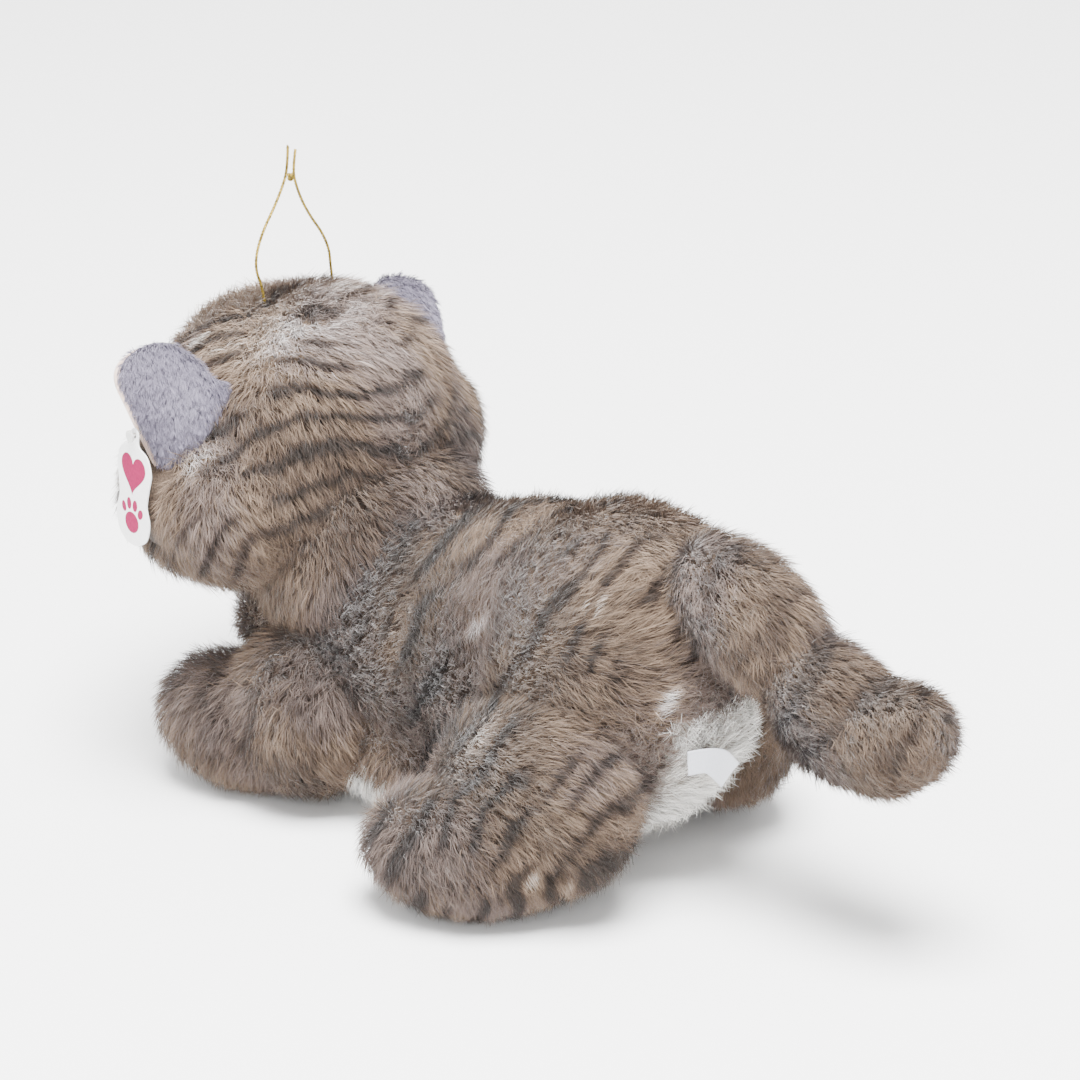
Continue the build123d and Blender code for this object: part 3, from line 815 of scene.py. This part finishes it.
# how many strands are scattered on each part before those that don't show are dropped
COUNTS = {
    "torso": 150000, "neck": 44000, "head": 118000, "tail_root": 22000, "tail_tip": 32000,
    "front_leg_left": 28000, "front_leg_right": 28000, "rear_leg_left": 44000, "rear_leg_right": 42000,
}
for number, (part, ovals) in enumerate(EVERY_FORM.items()):
    covering = skin(f"{part}_skin", ovals)
    tones = striped(part)
    paint_tone(covering, tones, 0.8)
    covering.data.materials.append(STRIPED_BACKING)
    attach(covering, part)
    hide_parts(*REPLACED[part])
    if part == "torso":
        covering.data.materials.append(WHITE_BACKING)
        for face in covering.data.polygons:
            if is_white(np.array([face.center]) / MM)[0]:
                face.material_index = 1
        for side, sign in (("left", 1), ("right", -1)):
            coat = fur(f"back_fur_{side}", part, covering, COUNTS[part], flow_of(part), tones,
                       exposed(part, lambda p: ~is_white(p) & (p[:, 0] * sign > 0)), STRIPED,
                       seed=number + 30 * sign + 30)
        coat = fur("belly_fur", part, covering, COUNTS[part] // 2, flow_of(part), plain(0.9, 0.05),
                   exposed(part, is_white), WHITE_FUR, length=10, seed=50 + number)
    elif part == "head":
        for side, sign in (("left", 1), ("right", -1)):
            coat = fur(f"head_fur_{side}", part, covering, COUNTS[part], flow_of(part), tones,
                       exposed(part, lambda p: (depth_in(p, MUZZLE_OVALS) < -2) & (p[:, 0] * sign > 0)
                               & clear_of_trims(p)),
                       STRIPED, seed=number + 30 * sign + 30)
        coat = fur("muzzle_fur", part, covering, COUNTS[part], lambda p: p - MUZZLE_CENTRE,
                   plain(0.85, 0.04), exposed(part, lambda p: depth_in(p, MUZZLE_OVALS) >= -2), WHITE_FUR,
                   length=4.5, lift=0.5, width=0.3, seed=50 + number)
    else:
        coat = fur(f"{part}_fur", part, covering, COUNTS[part], flow_of(part), tones, exposed(part),
                   STRIPED, seed=number)

# ---- ears: plush-backed pads lined with peach cloth ----
EAR_OUTLINE = [(19, -7), (21.5, 0), (16, 8.5), (7.5, 20), (1.5, 28), (-4, 30.5), (-10, 29), (-16, 24.5),
               (-19, 18), (-18.5, 9), (-15.5, 0), (-14, -7)]
EAR_RINGS = 14
EAR_STEPS = 72
EAR_MIDDLE = np.array((0.0, 12.0))
EAR_CUP = 0.008
EAR_BEND_START = 20
EAR_BEND = 0.10
EAR_STRANDS = 30000


def closed_curve(corners, count):
    """A smooth closed outline through a ring of corners."""
    ring = np.array(corners, float)
    size = len(ring)
    found = []
    for number in range(count):
        at = number * size / count
        i = int(at)
        t = at - i
        p0, p1, p2, p3 = (ring[(i + k) % size] for k in (-1, 0, 1, 2))
        found.append(0.5 * (2 * p1 + (p2 - p0) * t + (2 * p0 - 5 * p1 + 4 * p2 - p3) * t**2
                            + (3 * p1 - p0 - 3 * p2 + p3) * t**3))
    return np.array(found)


def ear_pad(name, side, front, back, grow, shift=(0, 0)):
    """A closed pad in the ear's plane, from front to back of it, cupped towards the lining."""
    seam, down, rise, out = ear_frame(side)
    outline = closed_curve(EAR_OUTLINE, EAR_STEPS)
    outline = EAR_MIDDLE + (outline - EAR_MIDDLE) * grow + shift
    points = []
    for face in (1, -1):
        for ring in range(EAR_RINGS + 1):
            share = ring / EAR_RINGS
            crown = math.sqrt(max(0.0, 1 - share**5))
            for x, y in EAR_MIDDLE + (outline - EAR_MIDDLE) * share:
                height = (front + back) / 2 + face * (back - front) / 2 * crown
                height -= EAR_CUP * x * x + EAR_BEND * max(0.0, y - EAR_BEND_START)
                points.append(seam + down * x + rise * y + out * height)
    faces = []
    per_face = (EAR_RINGS + 1) * EAR_STEPS
    for layer in range(2):
        for ring in range(EAR_RINGS):
            for turn in range(EAR_STEPS):
                a = layer * per_face + ring * EAR_STEPS + turn
                b = layer * per_face + ring * EAR_STEPS + (turn + 1) % EAR_STEPS
                faces.append((a, b, b + EAR_STEPS, a + EAR_STEPS))
    mesh = mesh_of(name, points, faces)
    form = bmesh.new()
    form.from_mesh(mesh)
    bmesh.ops.remove_doubles(form, verts=form.verts, dist=0.01 * MM)
    bmesh.ops.recalc_face_normals(form, faces=form.faces)
    form.to_mesh(mesh)
    form.free()
    mesh.shade_smooth()
    return add_object(name, mesh)


def cloth_material(name, light, dark, scale, bump_mm):
    """A smooth woven or brushed cloth in one colour."""
    made, nodes, links, shader = material(name)
    place = nodes.new("ShaderNodeTexCoord")
    grain = nodes.new("ShaderNodeTexNoise")
    grain.inputs["Scale"].default_value = scale
    grain.inputs["Detail"].default_value = 6
    links.new(place.outputs["Object"], grain.inputs["Vector"])
    shade = ramp(nodes, [(0.3, dark), (0.7, light)])
    links.new(grain.outputs["Fac"], shade.inputs["Fac"])
    links.new(shade.outputs["Color"], shader.inputs["Base Color"])
    bump = nodes.new("ShaderNodeBump")
    bump.inputs["Strength"].default_value = 0.5
    bump.inputs["Distance"].default_value = bump_mm * MM
    links.new(grain.outputs["Fac"], bump.inputs["Height"])
    links.new(bump.outputs["Normal"], shader.inputs["Normal"])
    shader.inputs["Roughness"].default_value = 0.8
    shader.inputs["Sheen Weight"].default_value = 0.3
    return made


PEACH = cloth_material("ear_lining", (250, 224, 208), (236, 200, 182), 2200, 0.15)
for number, side in enumerate(EAR_PLACES):
    body = f"ear_{side}"
    _, down, rise, out = ear_frame(side)
    pad = ear_pad(f"{body}_pad", side, -0.4, 2.2, 1.0)
    paint_tone(pad, plain(0.5, 0.08), 0.9)
    pad.data.materials.append(EAR_BACKING)
    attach(pad, body)
    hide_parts(f"{body}_back")
    lining = ear_pad(f"{body}_lining_cloth", side, -2.0, -0.2, 1.03, (2.6, 0.8))
    lining.data.materials.append(PEACH)
    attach(lining, body)
    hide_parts(f"{body}_lining")
    plush = fur(f"{body}_plush", body, pad, EAR_STRANDS, lambda p: 0.75 * down - 0.5 * rise + 0 * p,
                plain(0.55, 0.16), lambda p, n: (n @ out) > 0.0, EAR_FUR, length=3.6, lift=0.42,
                width=0.24, per_tuft=16, tuft_pull=0.3, scatter_tuft=0.22, seed=70 + number)

# ---- hang tag: die-cut card with a printed heart and paw ----
TAG_HALF_THICK = 0.25
TAG_HOLE_R = 1.3
TAG_MIDDLE = -20
TAG_CURL_ACROSS = 0.004
TAG_CURL_DOWN = 0.0006
TAG_TILT = 0.07
TAG_EDGE = 3.0
INK_SINKS = 0.02
INK_STANDS = 0.06
TAG_OUTLINE = [(0, 2.6), (-2.4, 1.0), (-3.2, -3.6), (-8.6, -6.2), (-11.4, -12), (-10.2, -19), (-9.4, -25),
               (-11.2, -31), (-9.6, -37.5), (-4.5, -41), (0, -41.6), (4.5, -41), (9.6, -37.5), (11.2, -31),
               (9.4, -25), (10.2, -19), (11.4, -12), (8.6, -6.2), (3.2, -3.6), (2.4, 1.0)]


def on_tag(x, y, out):
    """A point on the card: x across it, y up it, out from its middle; the card curls a little."""
    curl = TAG_CURL_ACROSS * x * x + TAG_CURL_DOWN * (y - TAG_MIDDLE) ** 2 + TAG_TILT * y
    return TAG_HOLE + TAG_RIGHT * x + np.array((0, 0, 1.0)) * y + TAG_OUT * (out - curl)


def plate(name, outline, low, high, hole=0.0):
    """A thin closed plate on the card, with an optional round hole at its origin."""
    form = bmesh.new()
    outer = [form.verts.new((x * MM, y * MM, 0)) for x, y in outline]
    edges = [form.edges.new((a, b)) for a, b in zip(outer, outer[1:] + outer[:1])]
    if hole:
        inner = [form.verts.new((hole * math.cos(t) * MM, hole * math.sin(t) * MM, 0))
                 for t in np.linspace(0, 2 * math.pi, 20, endpoint=False)]
        edges += [form.edges.new((a, b)) for a, b in zip(inner, inner[1:] + inner[:1])]
    bmesh.ops.triangle_fill(form, edges=edges, use_beauty=True)
    for _ in range(2):
        long_edges = [e for e in form.edges if e.calc_length() > TAG_EDGE * MM]
        bmesh.ops.subdivide_edges(form, edges=long_edges, cuts=1)
        bmesh.ops.triangulate(form, faces=form.faces)
    base = list(form.faces)
    lifted = bmesh.ops.extrude_face_region(form, geom=base)
    top = {v for v in lifted["geom"] if isinstance(v, bmesh.types.BMVert)}
    for vertex in form.verts:
        place = on_tag(vertex.co.x / MM, vertex.co.y / MM, high if vertex in top else low)
        vertex.co = Vector(place * MM)
    bmesh.ops.recalc_face_normals(form, faces=form.faces)
    # sorted, so that vertices and faces come in the same order on every run
    ordered = sorted(form.verts, key=lambda vertex: tuple(vertex.co))
    slots = {vertex: slot for slot, vertex in enumerate(ordered)}
    faces = sorted(([slots[vertex] for vertex in face.verts] for face in form.faces), key=sorted)
    mesh = bpy.data.meshes.new(name)
    mesh.from_pydata([tuple(vertex.co) for vertex in ordered], [], faces)
    form.free()
    return add_object(name, mesh)


CARD = cloth_material("tag_card", (246, 246, 246), (238, 238, 238), 900, 0.02)
PINK = cloth_material("tag_ink", (146, 28, 76), (132, 22, 68), 900, 0.01)
for paper in (CARD, PINK):
    paper_shader = paper.node_tree.nodes["Principled BSDF"]
    paper_shader.inputs["Sheen Weight"].default_value = 0
    paper_shader.inputs["Specular IOR Level"].default_value = 0.15
tag_card = plate("tag_card", closed_curve(TAG_OUTLINE, 100), -TAG_HALF_THICK, TAG_HALF_THICK, TAG_HOLE_R)
tag_card.data.materials.append(CARD)
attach(tag_card, "hang_tag")
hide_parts("hang_tag")


def heart(cx, cy, size):
    """A heart's outline."""
    t = np.linspace(0, 2 * math.pi, 48, endpoint=False)
    x = 16 * np.sin(t) ** 3
    y = 13 * np.cos(t) - 5 * np.cos(2 * t) - 2 * np.cos(3 * t) - np.cos(4 * t)
    return [(cx + size * a / 16, cy + size * b / 16) for a, b in zip(x, y)]


def disc(cx, cy, rx, ry, tilt=0.0):
    """An oval's outline."""
    t = np.linspace(0, 2 * math.pi, 24, endpoint=False)
    x = rx * np.cos(t)
    y = ry * np.sin(t)
    c = math.cos(tilt)
    s = math.sin(tilt)
    return [(cx + a * c - b * s, cy + a * s + b * c) for a, b in zip(x, y)]


PRINTS = {
    "tag_heart": heart(0, -14, 8.2), "tag_paw_pad": disc(0, -33.2, 4.6, 3.9),
    "tag_toe_1": disc(-5.6, -28.6, 1.5, 2.0, 0.5), "tag_toe_2": disc(-2.0, -26.4, 1.5, 2.2, 0.1),
    "tag_toe_3": disc(2.0, -26.4, 1.5, 2.2, -0.1), "tag_toe_4": disc(5.6, -28.6, 1.5, 2.0, -0.5),
}
for name, outline in PRINTS.items():
    printed = plate(name, outline, TAG_HALF_THICK - INK_SINKS, TAG_HALF_THICK + INK_STANDS)
    printed.data.materials.append(PINK)
    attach(printed, "hang_tag")

nylon, _, _, nylon_shader = material("clear_nylon")
nylon_shader.inputs["Base Color"].default_value = (0.86, 0.86, 0.84, 1)
nylon_shader.inputs["Roughness"].default_value = 0.25
nylon_shader.inputs["Transmission Weight"].default_value = 0.5
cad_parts["tag_fastener"].data.materials.clear()
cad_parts["tag_fastener"].data.materials.append(nylon)

# ---- sewn label: a strip of white satin, creased across its middle ----
LABEL_LINE = [(24.5, 91.5, 58.0), (20.2, 94.6, 58.6), (15.5, 96.3, 57.4), (11.5, 95.9, 54.0),
              (7.2, 95.0, 50.0), (2.9, 93.6, 46.2)]
LABEL_UP = np.array((-0.1, 0.3, 0.95))
LABEL_WIDTH = 10.6
LABEL_THICK = 0.25
LABEL_SPACING = 0.9
LABEL_COLUMNS = 9
LABEL_BOW = 1.2
line = evenly(spline_points(LABEL_LINE), LABEL_SPACING)
ahead = unit(np.gradient(line, axis=0))
across = unit(LABEL_UP - ahead * (ahead @ LABEL_UP)[:, None])
out = np.cross(across, ahead)
points = []
faces = []
for place, up, way in zip(line, across, out):
    for column in range(LABEL_COLUMNS):
        share = column / (LABEL_COLUMNS - 1) - 0.5
        points.append(place + up * share * LABEL_WIDTH + way * LABEL_BOW * (0.25 - share * share))
for row in range(len(line) - 1):
    for column in range(LABEL_COLUMNS - 1):
        a = row * LABEL_COLUMNS + column
        faces.append((a, a + 1, a + 1 + LABEL_COLUMNS, a + LABEL_COLUMNS))
label = add_object("satin_label", mesh_of("satin_label", points, faces))
thick = label.modifiers.new("thickness", "SOLIDIFY")
thick.thickness = LABEL_THICK * MM
thick.offset = 0
SATIN = cloth_material("satin_ribbon", (206, 208, 216), (184, 186, 194), 3000, 0.05)
SATIN.node_tree.nodes["Principled BSDF"].inputs["Roughness"].default_value = 0.4
label.data.materials.append(SATIN)
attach(label, "sewn_label")
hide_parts("sewn_label")

# ---- face: domed eyes, stitched nose and mouth ----
EYE_R = 9.0
EYE_FLATTENED = 0.7
EYE_STANDS = 1.5
EYE_BACK_DEPTH = 3
EYE_BACK_SHARE = 0.9
EYE_STEPS = 40
EYE_LAYERS = 14
EYE_PLACES = {"left": (29.0, 135.0), "right": (-29.0, 135.0)}


def on_head(x, z, out):
    """A point on the head's skin in front, lifted out by a distance, and the way out there."""
    dx = x - FACE_OVAL["centre"][0]
    dz = z - FACE_OVAL["centre"][2]
    a, b, c = FACE_OVAL["radii"]
    dy = -b * math.sqrt(1 - (dx / a) ** 2 - (dz / c) ** 2)
    way = np.array((dx / a**2, dy / b**2, dz / c**2))
    way = way / np.linalg.norm(way)
    return np.array((x, FACE_OVAL["centre"][1] + dy, z)) + way * out, way


def eye_material():
    """A glossy eye: dark pupil, amber iris, dark rim, from the radius stored on its mesh."""
    made, nodes, links, shader = material("eye")
    radius = nodes.new("ShaderNodeAttribute")
    radius.attribute_name = "radius"
    shade = ramp(nodes, [(0.0, (10, 8, 8)), (0.54, (12, 9, 8)), (0.60, (104, 62, 22)), (0.74, (168, 112, 42)),
                         (0.82, (96, 56, 22)), (0.90, (12, 9, 8))])
    links.new(radius.outputs["Fac"], shade.inputs["Fac"])
    links.new(shade.outputs["Color"], shader.inputs["Base Color"])
    shader.inputs["Roughness"].default_value = 0.12
    shader.inputs["Coat Weight"].default_value = 0.8
    return made


EYE = eye_material()
for side, (x, z) in EYE_PLACES.items():
    middle, way = on_head(x, z, EYE_STANDS)
    across = unit(np.cross((0, 0, 1.0), way)[None])[0]
    up = np.cross(way, across)
    points = []
    radii = []
    round_eye = [across * math.cos(t) + up * math.sin(t)
                 for t in np.linspace(0, 2 * math.pi, EYE_STEPS, endpoint=False)]
    for layer in range(EYE_LAYERS + 1):
        angle = math.pi / 2 * layer / EYE_LAYERS
        raised = way * EYE_R * EYE_FLATTENED * math.cos(angle)
        points += [middle + spoke * EYE_R * math.sin(angle) + raised for spoke in round_eye]
        radii += [math.sin(angle)] * EYE_STEPS
    points += [middle + spoke * EYE_R * EYE_BACK_SHARE - way * EYE_BACK_DEPTH for spoke in round_eye]
    radii += [1.0] * EYE_STEPS
    faces = []
    for layer in range(EYE_LAYERS + 1):
        for turn in range(EYE_STEPS):
            a = layer * EYE_STEPS + turn
            b = layer * EYE_STEPS + (turn + 1) % EYE_STEPS
            faces.append((a, a + EYE_STEPS, b + EYE_STEPS, b))
    faces.append(tuple(range((EYE_LAYERS + 1) * EYE_STEPS, (EYE_LAYERS + 2) * EYE_STEPS)))
    mesh = mesh_of(f"eye_{side}_dome", points, faces)
    stored = mesh.attributes.new("radius", "FLOAT", "POINT")
    stored.data.foreach_set("value", radii)
    dome = add_object(f"eye_{side}_dome", mesh)
    mesh.materials.append(EYE)
    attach(dome, "head")
    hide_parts(f"eye_{side}")

NOSE = cloth_material("nose_stitch", (206, 140, 138), (176, 108, 110), 1500, 0.4)
THREAD = cloth_material("mouth_thread", (120, 84, 74), (92, 62, 54), 1500, 0.2)
nose_points = []
nose_faces = []
NOSE_STEPS = 40
NOSE_RINGS = 8
NOSE_STANDS = 2.6
NOSE_BOW = 0.02
NOSE_BACK_DEPTH = 4
NOSE_BACK_SHARE = 0.9
nose_outline = closed_curve([(-6.5, 3.2), (-3, 4.4), (0, 4.0), (3, 4.4), (6.5, 3.2), (4.2, -1.2), (0, -4.4),
                             (-4.2, -1.2)], NOSE_STEPS)
NOSE_PLACE = np.array((0, -171.5, 115.5))
NOSE_WAY = unit(np.array([[0, -0.85, 0.53]]))[0]
NOSE_UP = np.cross(NOSE_WAY, (-1.0, 0, 0))
for ring in range(NOSE_RINGS + 1):
    share = 1 - ring / NOSE_RINGS
    for x, y in nose_outline * share:
        rise = NOSE_STANDS * math.sqrt(max(0.0, 1 - share**3)) - NOSE_BOW * x * x
        nose_points.append(NOSE_PLACE + np.array((x, 0, 0)) + NOSE_UP * y + NOSE_WAY * rise)
for ring in range(NOSE_RINGS):
    for turn in range(NOSE_STEPS):
        a = ring * NOSE_STEPS + turn
        b = ring * NOSE_STEPS + (turn + 1) % NOSE_STEPS
        nose_faces.append((a, b, b + NOSE_STEPS, a + NOSE_STEPS))
for x, y in nose_outline * NOSE_BACK_SHARE:
    nose_points.append(NOSE_PLACE + np.array((x, 0, 0)) + NOSE_UP * y - NOSE_WAY * NOSE_BACK_DEPTH)
last = (NOSE_RINGS + 1) * NOSE_STEPS
for turn in range(NOSE_STEPS):
    nxt = (turn + 1) % NOSE_STEPS
    nose_faces.append((last + turn, last + nxt, nxt, turn))
nose_faces.append(tuple(last + turn for turn in range(NOSE_STEPS))[::-1])
nose = add_object("nose_pad", mesh_of("nose_pad", nose_points, nose_faces))
nose.data.materials.append(NOSE)
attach(nose, "head")
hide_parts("nose")
MOUTH_R = 0.55
MOUTH_LINES = {
    "mouth_centre": [(0, -173.4, 112), (0, -173.6, 108), (0, -172.8, 104.5)],
    "mouth_left": [(0, -172.8, 104.5), (3.5, -173.2, 102), (8, -172.6, 101.5), (12.5, -169.5, 104)],
    "mouth_right": [(0, -172.8, 104.5), (-3.5, -173.2, 102), (-8, -172.6, 101.5), (-12.5, -169.5, 104)],
}
for name, route in MOUTH_LINES.items():
    stitched = add_object(name, mesh_of(name, *tube(spline_points(route)[::3], MOUTH_R)))
    stitched.data.materials.append(THREAD)
    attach(stitched, "head")

# ---- floor, light --------------------------------
FLOOR_HALF = 3.0
floor_mesh = bpy.data.meshes.new("floor")
floor_mesh.from_pydata(
    [(-FLOOR_HALF, -FLOOR_HALF, 0), (FLOOR_HALF, -FLOOR_HALF, 0), (FLOOR_HALF, FLOOR_HALF, 0),
     (-FLOOR_HALF, FLOOR_HALF, 0)], [], [(0, 1, 2, 3)])
floor = add_object("floor", floor_mesh)
floor_material, _, _, floor_shader = material("floor")
floor_shader.inputs["Base Color"].default_value = (0.94, 0.94, 0.94, 1)
floor_shader.inputs["Roughness"].default_value = 0.9
floor_mesh.materials.append(floor_material)


def area_light(name, place, size, power):
    """A soft square light aimed at the cat."""
    data = bpy.data.lights.new(name, "AREA")
    data.size = size
    data.energy = power
    lamp = bpy.data.objects.new(name, data)
    bpy.context.collection.objects.link(lamp)
    lamp.location = place
    lamp.rotation_euler = (Vector((0, 0, 0.08)) - Vector(place)).to_track_quat("-Z", "Y").to_euler()


area_light("key", (0.3, 0.3, 2.0), 1.1, 240)
area_light("fill", (1.5, 1.0, 0.9), 1.4, 20)
area_light("back", (-1.4, -0.6, 1.4), 1.4, 18)
area_light("front", (0.5, -1.8, 1.1), 1.2, 16)
world = bpy.data.worlds.new("world")
world.use_nodes = True
world.node_tree.nodes["Background"].inputs["Color"].default_value = (1, 1, 1, 1)
world.node_tree.nodes["Background"].inputs["Strength"].default_value = 0.95
bpy.context.scene.world = world
